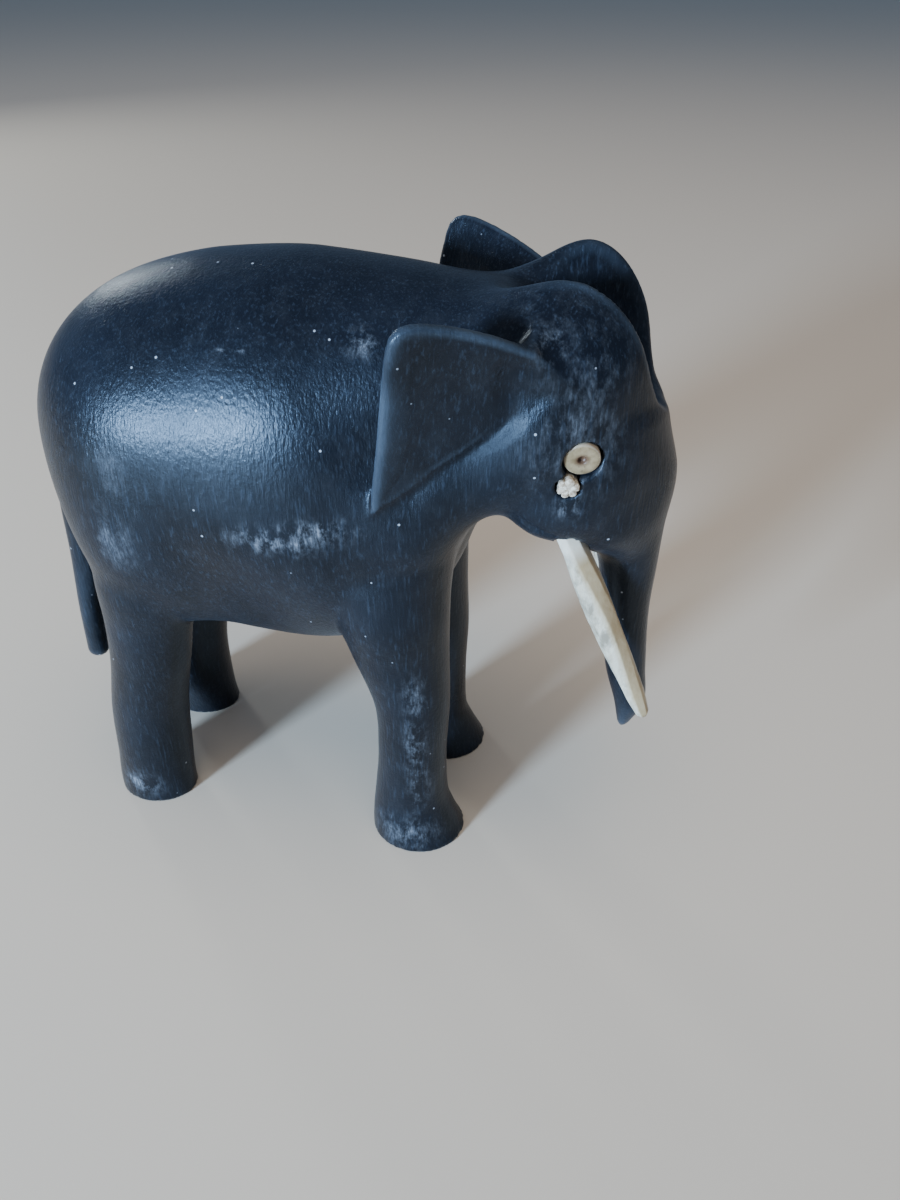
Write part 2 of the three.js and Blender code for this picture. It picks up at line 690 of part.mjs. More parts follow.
function tusk(side) {
  const seat = tuskSeat(side);
  const root = TUSK_ROOT_DIAMETER / 2;
  const girth = TUSK_GIRTH / 2;
  const tip = TUSK_TIP_DIAMETER / 2;
  const free = TUSK_LENGTH - TUSK_SOCKET_DEPTH;
  const profile = [
    [0, -TUSK_SOCKET_DEPTH], [root, -TUSK_SOCKET_DEPTH], [root, 0], [girth * 0.94, free * 0.16],
    [girth, free * 0.34], [girth * 0.86, free * 0.62], [girth * 0.7, free * 0.85],
    [tip, free - tip * 0.8], [tip * 0.6, free], [0, free],
  ];
  return solidOf(lay(turned(profile, TUSK_FACETS), seat.at, seat.aim));
}

function carving() {
  let block = carvedBlock();
  const saw = new THREE.BoxGeometry(3 * HEIGHT, 3 * HEIGHT, HEIGHT);
  block = block.subtract(solidOf(saw.translate(0, 0, -HEIGHT / 2)));
  for (const side of [RIGHT, LEFT]) {
    block = block.subtract(hole(EYE_DIAMETER, EYE_SINK + EYE_THICKNESS, eyeSeat(side), 24));
    block = block.subtract(hole(TUSK_ROOT_DIAMETER, TUSK_SOCKET_DEPTH, tuskSeat(side), 20));
  }
  return block.subtract(hole(PLUG_DIAMETER, PLUG_LENGTH - PLUG_PROUD, plugSeat(RIGHT), 16));
}

const EBONY = { color: 0x14181d, roughness: 0.42 };
const BONE = { color: 0xd6c8a4, roughness: 0.6 };
const HORN = { color: 0xa08a5c, roughness: 0.5 };
const CHALK = { color: 0xe6dcc6, roughness: 0.9 };

const group = new THREE.Group();
group.add(meshOf('carving', carving(), EBONY));
group.add(meshOf('tusk_right', tusk(RIGHT), BONE));
group.add(meshOf('tusk_left', tusk(LEFT), BONE));
group.add(meshOf('eye_right', eye(RIGHT), HORN));
group.add(meshOf('eye_left', eye(LEFT), HORN));
group.add(meshOf('cheek_plug_right', plug(RIGHT), CHALK));

const box = new THREE.Box3().setFromObject(group);
group.position.set(-(box.min.x + box.max.x) / 2, -(box.min.y + box.max.y) / 2, 0);
group.updateMatrixWorld(true);
export default group;
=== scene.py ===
import math

import bpy
import numpy as np
from mathutils import Matrix, Vector


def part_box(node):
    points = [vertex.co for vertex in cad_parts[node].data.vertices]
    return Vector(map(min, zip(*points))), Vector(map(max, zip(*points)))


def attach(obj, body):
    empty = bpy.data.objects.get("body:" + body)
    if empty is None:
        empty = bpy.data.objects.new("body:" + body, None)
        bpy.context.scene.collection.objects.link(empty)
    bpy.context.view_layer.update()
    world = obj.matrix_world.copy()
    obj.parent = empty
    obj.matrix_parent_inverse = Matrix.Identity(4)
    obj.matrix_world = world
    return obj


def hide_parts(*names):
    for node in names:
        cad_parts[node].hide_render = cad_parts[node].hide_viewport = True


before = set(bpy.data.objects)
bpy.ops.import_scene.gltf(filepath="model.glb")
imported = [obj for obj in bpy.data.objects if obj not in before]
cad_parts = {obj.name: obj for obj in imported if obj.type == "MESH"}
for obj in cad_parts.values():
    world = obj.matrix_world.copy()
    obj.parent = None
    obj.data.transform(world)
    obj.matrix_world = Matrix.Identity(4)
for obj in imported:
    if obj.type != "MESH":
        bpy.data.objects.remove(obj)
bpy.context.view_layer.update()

# The carving
# The whole animal in one block of near-black hardwood, carved with knife and rasp, rubbed smooth
# by hand and standing on four sawn soles. The form is in hundredths of the figure's height.

FIGURE_HEIGHT = 0.105
SHARE = FIGURE_HEIGHT / 100
RIGHT = -1
LEFT = 1
CARVING_STEP = 0.5e-3 / SHARE
CARVING_TRIANGLES = 190000


def tilted(degrees):
    return math.sin(math.radians(degrees)), math.cos(math.radians(degrees))


BARREL = dict(at=(-11.9, 0, 67.3), half=(31, 22, 30.7))
RUMP = dict(at=(-26.3, 0, 72.5), half=(19.1, 19, 19.3), blend=7)
SHOULDER = dict(at=(1.2, 0, 68.2), half=(20, 19, 29), blend=8)
HAUNCH = dict(at=(-28.3, 8.2, 58.5), half=(11.6, 11.8, 17.9), blend=7)
NECK = dict(at=(13.2, 0, 82.7), half=(16.9, 14.8, 14.4), blend=6)
BELLY_FACET = dict(out=20.8, up=60, normal=(0.91, -0.41), blend=2.5)

SKULL = dict(at=(32.6, 0, 78.4), half=(13, 10.4, 9.8))
TEMPLE = dict(at=(32.4, 7.4, 86.2), half=(9.4, 7.6, 9.8), blend=5)
DOME = {
    RIGHT: dict(at=(33.8, 5.4, 87.2), half=(10.3, 5.4, 12.4), blend=6),
    LEFT: dict(at=(35, 5.8, 89.1), half=(9.4, 5.2, 12.8), blend=6),
}
RIDGE = dict(at=(36.2, 3.4, 83.4), half=(8.2, 4.8, 9.6), blend=3)
CHEEK = dict(at=(34.8, 8.2, 72.6), half=(9, 5.2, 7.4), blend=7)
BROW = dict(at=(36.7, 0, 79.7), half=(8.8, 9.3, 8.9), blend=4)
JAW = dict(at=(28.3, 0, 69.5), half=(7.1, 6.4, 5.7), blend=1)
LIP = dict(start=(33.3, 7.2, 68.3), end=(40.4, 5.6, 65.4), radius=(4.8, 4.6), blend=5)
FOLD = dict(start=(14.5, 11.7, 67.4), end=(30.1, 9.5, 80.1), radius=(5.8, 6.2))
SULCUS = dict(at=(41.2, 0, 96.4), half=(21.6, 7.4, 10.5), along=tilted(-40))

# A limb's stations run from the floor up: height, x, y, half length, half width
FORE_LEG = np.array([
    (-2.5, 15.1, 11.6, 9.3, 8.6), (0, 13.8, 11.6, 8.4, 7.6), (4.5, 12.9, 11.6, 7.3, 6.8),
    (9, 12.6, 11.6, 6.5, 6.1), (19, 13, 11.7, 5.9, 5.9), (30, 13.1, 11.3, 6.3, 6.2),
    (41, 11.2, 10.8, 8, 7.3), (51, 9.7, 10.4, 9.6, 8.9), (60, 8.9, 8.6, 10.6, 9.8),
    (70, 8.6, 4, 7.9, 7), (78, 8.5, 2, 4, 3),
])
HIND_LEG = np.array([
    (-2.5, -36, 12.4, 6.7, 6.6), (0, -37.6, 12.3, 7.2, 5.6), (10, -37.3, 11.1, 6.8, 6.6),
    (20, -36.4, 10.5, 6.8, 6.9), (32, -33.6, 10.8, 6.9, 6.9), (41, -31.7, 11.2, 7.4, 7.3),
    (51, -29.2, 10.7, 9.6, 8.8), (60, -26.9, 8.6, 11.6, 9.2), (70, -25, 3.9, 8, 6.5),
    (78, -24, 1.9, 4, 3),
])
TRUNK = np.array([
    (20.2, 47.8, 0, 0.4, 0.6), (23, 48.2, 0, 1.4, 1.8), (27, 48.5, 0, 2.6, 2.8),
    (34, 47.1, 0, 3.3, 3.3), (46, 45.5, 0, 3.9, 3.8), (55, 45, 0, 4.5, 4.6),
    (62, 43.8, 0, 5.8, 6.4), (72, 42.4, 0, 7.6, 8.4), (80, 38.9, 0, 8, 9.1),
])
TAIL = np.array([
    (19.5, -52.5, 0, 2, 1.8), (32, -51.1, 0, 2.1, 2.4), (44, -49.1, 0, 2.7, 2.4),
    (56, -47.3, 0, 3.5, 2.4), (68, -45.9, 0, 2.9, 2.2), (78, -43.4, 0, 2.1, 2),
])

# The ear is a plate in its own plane: u runs forwards, v upwards
EAR_ROOT = (30.2, 14, 85)
EAR_FORWARD = (0.885, -0.466, 0)
EAR_UP = (0.116, 0.221, 0.968)
EAR_OUTLINE = [
    (0.4, 4), (-0.8, 7.6), (-2.8, 9.3), (-5.4, 10.5), (-8.3, 11.6), (-11.3, 12.5),
    (-14.2, 13.1), (-16.1, 13.1), (-17.2, 12.6), (-18, 11.6), (-18.4, 10), (-18.7, 6.9),
    (-19, 1.8), (-19.3, -3.6), (-19.8, -10.3), (-20.2, -15.5), (-17.6, -14), (-15, -12.2),
    (-12.4, -9.8), (-9.8, -7.7), (-7.3, -5.9), (-4.8, -4), (-2.4, -1.6), (-0.7, 0.5),
]
EAR_RIM = 1.5
EAR_REACH = {RIGHT: 1, LEFT: 1.21}
EAR_MIDDLE = (18, 19, 85)
EAR_ROOM = 27

# Eased values: where they start, by how much they change, and where the change begins and ends
EAR_TURN_IN = (0, 1.6, -6, 0)
EAR_TURN_LOW = (0, 1, 0, 3)
EAR_TURN_HIGH = (1, -1, 5, 9)
EAR_DISH = (0, 0.35, 0.4, 8)
EAR_THICKER = (0, 2.4, -18, -4)
EAR_THIN_EDGE = (0, 1, 0, 5)
EAR_SOFTENED = (0, 1, -1, 5)
EAR_CREASE = (0.5, 1.1, -14, -3)
EAR_WINDOW_REACH = (0, 2, -3.5, -0.5)
EAR_WINDOW_BLEND = (0, 5, -7, -1)
EAR_CUT_BLEND = (0, 2.5, 26, 31)
EAR_ROOT_BLEND = (0, 5, 23, 31)
LEG_BLEND = (0.8, 6, 56, 68)
LEFT_FORE_SHIFT = (-0.3, -0.8, 0, 9)
FOLD_BLEND = (9, -5, 17, 25)
SULCUS_BLEND = (4, -3, 26, 36)
SULCUS_LEFT_BLEND = (0, 2, 0, 4)
LEFT_HIND_SHIFT = -1.4
TRUNK_BLEND = 4
HEAD_BLEND = 9
TAIL_BLEND = 0.8

# The knife's line of the mouth, back to front, and the places bored for the inlays
MOUTH = [(25.7, 16, 71.9), (26.8, 14.8, 70.6), (28, 13.3, 69.2), (30.7, 12.8, 67.2), (34, 12.4, 65.6)]
MOUTH_WIDTH = (0.15, 0.45)
MOUTH_BLEND = 0.3
FIT_GAP = 0.0003
EYE_PLACE = (37.4, 14.2, 78.2)
EYE_LOOK = (0.2, 0.95, -0.2)
EYE_DIAMETER = 0.005
EYE_THICKNESS = 0.0022
EYE_SINK = 0.0005
PLUG_FROM_EYE = (-0.38, 0, -0.93)
PLUG_DIAMETER = 0.003
PLUG_LENGTH = 0.003
PLUG_PROUD = 0.0006
TUSK_PLACE = (36.8, 9.5, 63)
TUSK_AIM = {RIGHT: (14.1, 0, -31.3), LEFT: (11.6, -0.5, -31.3)}
TUSK_ROOT_DIAMETER = 0.0041
TUSK_SOCKET_DEPTH = 0.0065


def join(a, b, blend):
    h = np.maximum(blend - np.abs(a - b), 0) / blend
    return np.minimum(a, b) - h * h * blend / 4


def meet(a, b, blend):
    return -join(-a, -b, blend)


def cut(a, b, blend):
    return meet(a, -b, blend)


def eased(start, change, low, high, t):
    s = np.clip((t - low) / (high - low), 0, 1)
    return start + change * s * s * (3 - 2 * s)


def ellipsoid(p, form, side=1):
    a, b, c = form["half"]
    rise, run = form.get("along", (0, 1))
    dx = p[0] - form["at"][0]
    dz = p[2] - form["at"][2]
    x = dx * run + dz * rise
    y = p[1] - form["at"][1] * side
    z = dz * run - dx * rise
    reach = np.sqrt((x / a) ** 2 + (y / b) ** 2 + (z / c) ** 2)
    steep = np.sqrt((x / a ** 2) ** 2 + (y / b ** 2) ** 2 + (z / c ** 2) ** 2) + 1e-9
    return reach * (reach - 1) / steep


def roll(p, start, end, radius, side=1):
    along = np.subtract(end, start)
    rel = [p[0] - start[0], p[1] * side - start[1], p[2] - start[2]]
    t = np.clip(sum(r * a for r, a in zip(rel, along)) / (along @ along), 0, 1)
    away = np.sqrt(sum((r - a * t) ** 2 for r, a in zip(rel, along)))
    return away - radius[0] - (radius[1] - radius[0]) * t


def station_at(stations, height):
    heights = stations[:, 0]
    z = np.clip(height, heights[0], heights[-1])
    i = np.clip(np.searchsorted(heights, z, side="right") - 1, 0, len(heights) - 2)
    before = np.maximum(i - 1, 0)
    after = np.minimum(i + 2, len(heights) - 1)
    span = heights[i + 1] - heights[i]
    t = (z - heights[i]) / span
    out = []
    for column in stations.T[1:]:
        slope_from = (column[i + 1] - column[before]) / (heights[i + 1] - heights[before]) * span
        slope_to = (column[after] - column[i]) / (heights[after] - heights[i]) * span
        rise = column[i + 1] - column[i]
        bend = 3 * rise - 2 * slope_from - slope_to
        twist = slope_from + slope_to - 2 * rise
        out.append(column[i] + t * (slope_from + t * (bend + t * twist)))
    return out


def limb(p, stations, side=1, shift=0):
    cx, cy, rx, ry = station_at(stations, p[2])
    x = p[0] - cx - shift
    y = p[1] - cy * side
    reach = np.sqrt((x / rx) ** 2 + (y / ry) ** 2)
    steep = np.sqrt((x / rx ** 2) ** 2 + (y / ry ** 2) ** 2) + 1e-9
    ends = np.maximum(stations[0, 0] - p[2], p[2] - stations[-1, 0])
    return meet(reach * (reach - 1) / steep, ends, 2)


def outline_distance(points, u, v):
    nearest = np.full_like(u, 1e9)
    inside = np.zeros(u.shape, bool)
    for n, (u1, v1) in enumerate(points):
        u0, v0 = points[n - 1]
        du = u1 - u0
        dv = v1 - v0
        t = np.clip(((u - u0) * du + (v - v0) * dv) / (du * du + dv * dv), 0, 1)
        nearest = np.minimum(nearest, np.hypot(u - u0 - du * t, v - v0 - dv * t))
        if dv != 0:
            inside ^= ((v0 > v) != (v1 > v)) & (u < u0 + du * (v - v0) / dv)
    return np.where(inside, -nearest, nearest)


def with_ear(body, p, side):
    mx, my, mz = EAR_MIDDLE
    near = np.sqrt((p[0] - mx) ** 2 + (p[1] - my * side) ** 2 + (p[2] - mz) ** 2) < EAR_ROOM
    if not near.any():
        return body
    q = [c[near] for c in p]
    rel = np.stack([q[0] - EAR_ROOT[0], q[1] * side - EAR_ROOT[1], q[2] - EAR_ROOT[2]])
    u = np.tensordot(EAR_FORWARD, rel, 1) / EAR_REACH[side]
    v = np.tensordot(EAR_UP, rel, 1)
    out = np.tensordot(np.cross(EAR_UP, EAR_FORWARD), rel, 1)
    edge = outline_distance(EAR_OUTLINE, u, v)
    turn_in = eased(*EAR_TURN_IN, u) * eased(*EAR_TURN_LOW, v) * eased(*EAR_TURN_HIGH, v)
    face = out + eased(*EAR_DISH, -edge) + turn_in
    back = -out - EAR_RIM - eased(*EAR_THICKER, u) * eased(*EAR_THIN_EDGE, -edge)
    soft = eased(*EAR_SOFTENED, v)
    crease = eased(*EAR_CREASE, u)
    window_blend = crease + eased(*EAR_WINDOW_BLEND, u) * soft
    window = meet(edge + 0.2, eased(*EAR_WINDOW_REACH, u) - face, window_blend)
    plate = meet(edge, meet(face, back, 0.6), 0.8)
    opened = cut(body[near], window, crease + eased(*EAR_CUT_BLEND, q[0]) * soft)
    body = body.copy()
    body[near] = join(opened, plate, EAR_CREASE[0] + eased(*EAR_ROOT_BLEND, q[0]) * soft)
    return body


def figure(p):
    x, y, z = p

    def mass(body, form, side=1):
        return join(body, ellipsoid(p, form, side), form["blend"])

    facet = (np.abs(y) - BELLY_FACET["out"]) * BELLY_FACET["normal"][0]
    facet = facet + (z - BELLY_FACET["up"]) * BELLY_FACET["normal"][1]
    body = meet(ellipsoid(p, BARREL), facet, BELLY_FACET["blend"])
    body = mass(body, RUMP)
    body = mass(body, HAUNCH, RIGHT)
    body = mass(body, HAUNCH, LEFT)
    body = mass(body, SHOULDER)
    leg_blend = eased(*LEG_BLEND, z)
    for side in (RIGHT, LEFT):
        fore_shift = eased(*LEFT_FORE_SHIFT, z) if side == LEFT else 0
        hind_shift = LEFT_HIND_SHIFT if side == LEFT else 0
        body = join(body, limb(p, FORE_LEG, side, fore_shift), leg_blend)
        body = join(body, limb(p, HIND_LEG, side, hind_shift), leg_blend)
    body = mass(body, NECK)
    head = ellipsoid(p, SKULL)
    for side in (RIGHT, LEFT):
        for form in (DOME[side], TEMPLE, CHEEK, RIDGE):
            head = mass(head, form, side)
    head = mass(head, BROW)
    head = join(head, limb(p, TRUNK), TRUNK_BLEND)
    for side in (RIGHT, LEFT):
        head = join(head, roll(p, LIP["start"], LIP["end"], LIP["radius"], side), LIP["blend"])
    head = mass(head, JAW)
    body = join(body, head, HEAD_BLEND)
    for side in (RIGHT, LEFT):
        fold = roll(p, FOLD["start"], FOLD["end"], FOLD["radius"], side)
        body = join(body, fold, eased(*FOLD_BLEND, x))
    body = cut(body, ellipsoid(p, SULCUS), eased(*SULCUS_BLEND, x) + eased(*SULCUS_LEFT_BLEND, y))
    body = join(body, limb(p, TAIL), TAIL_BLEND)
    return with_ear(with_ear(body, p, RIGHT), p, LEFT)


def spot(place, side):
    return Vector((place[0], place[1] * side, place[2])) * SHARE


def seat_at(place, out):
    stride = 0.1 * SHARE
    at = place + out * 5 * SHARE
    while figure([np.array([c / SHARE]) for c in at])[0] > 0:
        at = at - out * stride
    return at + out * stride / 2, out


EYE_SEAT = {}
TUSK_SEAT = {}
for side in (RIGHT, LEFT):
    EYE_SEAT[side] = seat_at(spot(EYE_PLACE, side), spot(EYE_LOOK, side).normalized())
    TUSK_SEAT[side] = (spot(TUSK_PLACE, side), spot(TUSK_AIM[side], side).normalized())
plug_apart = EYE_DIAMETER / 2 + PLUG_DIAMETER / 2 + FIT_GAP
plug_place = EYE_SEAT[RIGHT][0] + Vector(PLUG_FROM_EYE).normalized() * plug_apart
PLUG_SEAT = seat_at(plug_place, EYE_SEAT[RIGHT][1])


def bored(p, seat, diameter, depth):
    at, out = seat
    rel = [c - a / SHARE for c, a in zip(p, at)]
    along = sum(r * o for r, o in zip(rel, out))
    across = np.sqrt(np.maximum(sum(r * r for r in rel) - along ** 2, 0))
    return np.maximum(across - (diameter / 2 + FIT_GAP) / SHARE, -along - (depth + FIT_GAP) / SHARE)


def carved(p):
    body = np.maximum(figure(p), -p[2])
    for side in (RIGHT, LEFT):
        narrow, wide = MOUTH_WIDTH
        last = len(MOUTH) - 1
        for n, (start, end) in enumerate(zip(MOUTH, MOUTH[1:])):
            widths = [eased(narrow, wide - narrow, 0, last, n + m) for m in (0, 1)]
            body = cut(body, roll(p, start, end, widths, side), MOUTH_BLEND)
        body = np.maximum(body, -bored(p, EYE_SEAT[side], EYE_DIAMETER, EYE_SINK + EYE_THICKNESS))
        body = np.maximum(body, -bored(p, TUSK_SEAT[side], TUSK_ROOT_DIAMETER, TUSK_SOCKET_DEPTH))
    return np.maximum(body, -bored(p, PLUG_SEAT, PLUG_DIAMETER, PLUG_LENGTH - PLUG_PROUD))


def slopes_of(form, places, h):
    here = form(list(places.T))
    rises = []
    for axis in range(3):
        moved = places.copy()
        moved[:, axis] += h
        rises.append((form(list(moved.T)) - here) / h)
    return here, np.stack(rises, 1)


def settled(form, places, reach, rounds):
    for _ in range(rounds):
        here, slopes = slopes_of(form, places, 0.02)
        size = np.maximum((slopes ** 2).sum(1), 0.3)
        places = places - np.clip(here / size, -reach, reach)[:, None] * slopes
    return places


def skin(form, low, high, step, block=8):
    low = np.array(low, float)
    count = (np.ceil((np.array(high) - low) / step / block) * block).astype(int)
    middles = [low[n] + (np.arange(0, count[n], block) + (block - 1) / 2) * step for n in range(3)]
    coarse = form(np.meshgrid(*middles, indexing="ij"))
    value = np.repeat(np.repeat(np.repeat(coarse, block, 0), block, 1), block, 2)
    close = np.argwhere(np.abs(coarse) < 1.5 * block * step)
    within = np.stack(np.meshgrid(*[np.arange(block)] * 3, indexing="ij"), -1).reshape(-1, 3)
    for part in np.array_split(close, max(1, len(close) // 400)):
        nodes = (part[:, None, :] * block + within[None]).reshape(-1, 3)
        value[tuple(nodes.T)] = form(list((low + nodes * step).T))
    inside = value < 0
    whole = inside[:-1, :-1, :-1]
    mixed = np.zeros(whole.shape, bool)
    for n in range(1, 8):
        corner = inside[n & 1:, (n >> 1) & 1:, (n >> 2) & 1:]
        mixed |= whole != corner[:count[0] - 1, :count[1] - 1, :count[2] - 1]
    cells = np.argwhere(mixed)
    number = np.full(tuple(count), -1)
    number[tuple(cells.T)] = np.arange(len(cells))
    total = np.zeros((len(cells), 3))
    hits = np.zeros(len(cells))
    unit = np.eye(3, dtype=int)
    for a in range(8):
        from_node = cells + [a & 1, (a >> 1) & 1, (a >> 2) & 1]
        value_a = value[tuple(from_node.T)]
        for axis in range(3):
            if a >> axis & 1:
                continue
            value_b = value[tuple((from_node + unit[axis]).T)]
            hit = (value_a < 0) != (value_b < 0)
            t = value_a[hit] / (value_a[hit] - value_b[hit])
            total[hit] += from_node[hit] + t[:, None] * unit[axis]
            hits[hit] += 1
    places = low + total / hits[:, None] * step
    faces = []
    for axis in range(3):
        u, v = unit[(axis + 1) % 3], unit[(axis + 2) % 3]
        ahead = np.roll(inside, -1, axis)
        nodes = np.argwhere(inside != ahead)
        nodes = nodes[(nodes > 0).all(1) & (nodes < count - 1).all(1)]
        ring = [number[tuple((nodes - p * u - q * v).T)] for p, q in ((1, 1), (0, 1), (0, 0), (1, 0))]
        ring = np.stack(ring, 1)
        flip = ~inside[tuple(nodes.T)]
        ring[flip] = ring[flip][:, ::-1]
        faces.append(ring)
    return places, np.concatenate(faces)


def mesh_object(name, places, faces):
    mesh = bpy.data.meshes.new(name)
    mesh.from_pydata([tuple(p) for p in places], [], [tuple(int(n) for n in f) for f in faces])
    mesh.validate()
    mesh.shade_smooth()
    piece = bpy.data.objects.new(name, mesh)
    bpy.context.scene.collection.objects.link(piece)
    return piece


def apply_modifiers(piece):
    graph = bpy.context.evaluated_depsgraph_get()
    mesh = bpy.data.meshes.new_from_object(piece.evaluated_get(graph))
    piece.modifiers.clear()
    old = piece.data
    piece.data = mesh
    bpy.data.meshes.remove(old)


places, faces = skin(carved, (-60, -30, -3), (56, 30, 105), CARVING_STEP)
places = settled(carved, places, 0.25, 3)
places[:, 2] = np.maximum(places[:, 2], 0)
low_corner, high_corner = [np.array(corner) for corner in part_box("carving")]
middle = (places.max(0) + places.min(0)) / 2 * [1, 1, 0]
SHIFT = Vector((low_corner + high_corner) / 2 * [1, 1, 0] - middle * SHARE)
# The solid's broader faces cut a hair off its crown and ears, so the skin is drawn in as little
snug = np.minimum((high_corner - low_corner) / ((places.max(0) - places.min(0)) * SHARE), 1)
places = middle + (places - middle) * snug
elephant = mesh_object("ebony_elephant", places * SHARE + np.array(SHIFT), faces)
thin_out = elephant.modifiers.new("thin", "DECIMATE")
thin_out.ratio = min(1, CARVING_TRIANGLES / (2 * len(faces)))
apply_modifiers(elephant)

# Where handling has chalked the wood: middle of each mark, its reach and its strength
CHALKED = [
    ((-3, -22, 65.6), (6, 6, 2), 0.9), ((4, -21, 67.6), (4, 6, 1.6), 0.8),
    ((-26, -21, 75), (3, 8, 7), 0.22), ((-28.5, -21, 62), (4, 8, 5), 0.35),
    ((15, -17, 36), (1.8, 5, 4), 0.55), ((15, -17, 25), (1.8, 5, 5), 0.6),
    ((15.5, -17, 15), (2, 5, 5), 0.45), ((13, -18, 4), (6, 8, 3.4), 0.5),
    ((38, -12, 90), (7, 7, 6), 0.16), ((32, -13, 92.5), (1.5, 3, 1.5), 0.6),
    ((9, -13, 91.3), (2, 3, 1.6), 0.7), ((36, -14, 71), (1.6, 4, 1.6), 0.7),
    ((37, -14, 80), (7, 5, 7), 0.35), ((-38.5, -17.7, 4.4), (3.6, 5, 2.6), 0.9),
    ((28, -12, 97), (9, 6, 4), 0.1), ((-7, -15.5, 89.8), (0.5, 1, 0.2), 1.4),
    ((-9.5, -15.6, 89.6), (0.2, 1, 0.2), 1.4),
]


def attribute(piece, name, values):
    layer = piece.data.attributes.new(name, "FLOAT", "POINT")
    layer.data.foreach_set("value", np.asarray(values, np.float32))


at = np.array([v.co for v in elephant.data.vertices])
at = (at - np.array(SHIFT)) / SHARE
chalk = np.zeros(len(at))
for middle, reach, strength in CHALKED:
    chalk += strength * np.exp(-(((at - middle) / reach) ** 2).sum(1))
attribute(elephant, "chalk", chalk)

# The fold under the ear is rubbed less than the flanks, so it shines less
DULL_PLACE = (26, -15, 76)
DULL_REACH = (9, 9, 8)
attribute(elephant, "dull", np.exp(-(((at - DULL_PLACE) / DULL_REACH) ** 2).sum(1)))

# Ridges, found by how far the form falls away on all sides, are painted lighter: partly rubbed wear,
# partly a painted highlight along the rims
RIDGE_STEP = 0.8
bend = -6 * figure(list(at.T))
for axis in range(3):
    for way in (-1, 1):
        moved = at.copy()
        moved[:, axis] += RIDGE_STEP * way
        bend += figure(list(moved.T))
attribute(elephant, "edge", np.clip(bend / 0.64 * 0.8, -1, 1))


def nodes_of(material):
    material.use_nodes = True
    material.node_tree.nodes.clear()
    return material.node_tree


def add(tree, kind, inputs=None, **settings):
    node = tree.nodes.new(kind)
    for key, value in settings.items():
        setattr(node, key, value)
    for key, value in (inputs or {}).items():
        if isinstance(value, bpy.types.NodeSocket):
            tree.links.new(value, node.inputs[key])
        else:
            node.inputs[key].default_value = value
    return node


def noise(tree, where, scale, detail=3, roughness=0.5):
    return add(tree, "ShaderNodeTexNoise", {
        "Vector": where, "Scale": scale, "Detail": detail, "Roughness": roughness,
    }).outputs["Fac"]


def span(tree, value, low, high, to_low=0, to_high=1):
    return add(tree, "ShaderNodeMapRange", {
        "Value": value, "From Min": low, "From Max": high, "To Min": to_low, "To Max": to_high,
    }).outputs["Result"]


def sums(tree, operation, a, b):
    clamped = operation == "MULTIPLY"
    return add(tree, "ShaderNodeMath", {0: a, 1: b}, operation=operation, use_clamp=clamped).outputs[0]


def mixed_colour(tree, share, a, b):
    mix = add(tree, "ShaderNodeMix", {"Factor": share, "A": a, "B": b}, data_type="RGBA")
    return mix.outputs["Result"]


def bumped(tree, height, distance, strength, before=None):
    inputs = {"Height": height, "Distance": distance, "Strength": strength}
    if before is not None:
        inputs["Normal"] = before
    return add(tree, "ShaderNodeBump", inputs).outputs["Normal"]


def stretched(tree, where, scale):
    return add(tree, "ShaderNodeMapping", {"Vector": where, "Scale": scale}).outputs["Vector"]


ebony = bpy.data.materials.new("handled_ebony")
tree = nodes_of(ebony)
where = add(tree, "ShaderNodeTexCoord").outputs["Object"]
chalk_here = add(tree, "ShaderNodeAttribute", attribute_name="chalk").outputs["Fac"]
edge_here = add(tree, "ShaderNodeAttribute", attribute_name="edge").outputs["Fac"]
grain = noise(tree, stretched(tree, where, (1, 1, 0.1)), 2600, 4, 0.6)
cloud = noise(tree, where, 60, 3, 0.55)
wrinkle = noise(tree, where, 1300, 3, 0.6)
haze = noise(tree, stretched(tree, where, (1, 1, 0.6)), 420, 6, 0.72)
fleck = noise(tree, stretched(tree, where, (1, 1, 0.2)), 3200, 3, 0.6)
black = (0.004, 0.0044, 0.0064, 1)
slate = (0.0062, 0.0078, 0.0122, 1)
wood = mixed_colour(tree, span(tree, cloud, 0.35, 0.65), black, slate)
wood = mixed_colour(tree, span(tree, grain, 0.54, 0.72, 0, 0.8), wood, (0.021, 0.029, 0.043, 1))
wisps = sums(tree, "MULTIPLY", span(tree, haze, 0.45, 0.68), span(tree, fleck, 0.42, 0.62, 0.35, 1))
dusty = sums(tree, "MULTIPLY", wisps, span(tree, chalk_here, 0.05, 0.9, 0.03, 1))
wood = mixed_colour(tree, dusty, wood, (0.26, 0.29, 0.34, 1))
cells = add(tree, "ShaderNodeTexVoronoi", {"Vector": where, "Scale": 330}).outputs
dot = span(tree, cells["Distance"], 0.045, 0.075, 1, 0)
specks = sums(tree, "MULTIPLY", dot, span(tree, cells["Color"], 0.46, 0.42))
wood = mixed_colour(tree, specks, wood, (0.35, 0.38, 0.42, 1))
uneven = span(tree, cloud, 0.35, 0.6, 0.1, 0.5)
# Ridges painted lighter and bluer: partly rubbed wear, partly a painted highlight along the rims
rubbed_and_lit_ridges = sums(tree, "MULTIPLY", span(tree, edge_here, 0.25, 0.9), uneven)
wood = mixed_colour(tree, rubbed_and_lit_ridges, wood, (0.08, 0.11, 0.15, 1))
gloss = span(tree, cloud, 0.3, 0.7, 0.27, 0.35)
gloss = sums(tree, "ADD", gloss, span(tree, dusty, 0, 1, 0, 0.4))
dull_here = add(tree, "ShaderNodeAttribute", attribute_name="dull").outputs["Fac"]
gloss = sums(tree, "ADD", gloss, span(tree, dull_here, 0, 1, 0, 0.3))
relief = bumped(tree, wrinkle, 0.00016, 0.36)
relief = bumped(tree, grain, 0.00016, 0.5, relief)
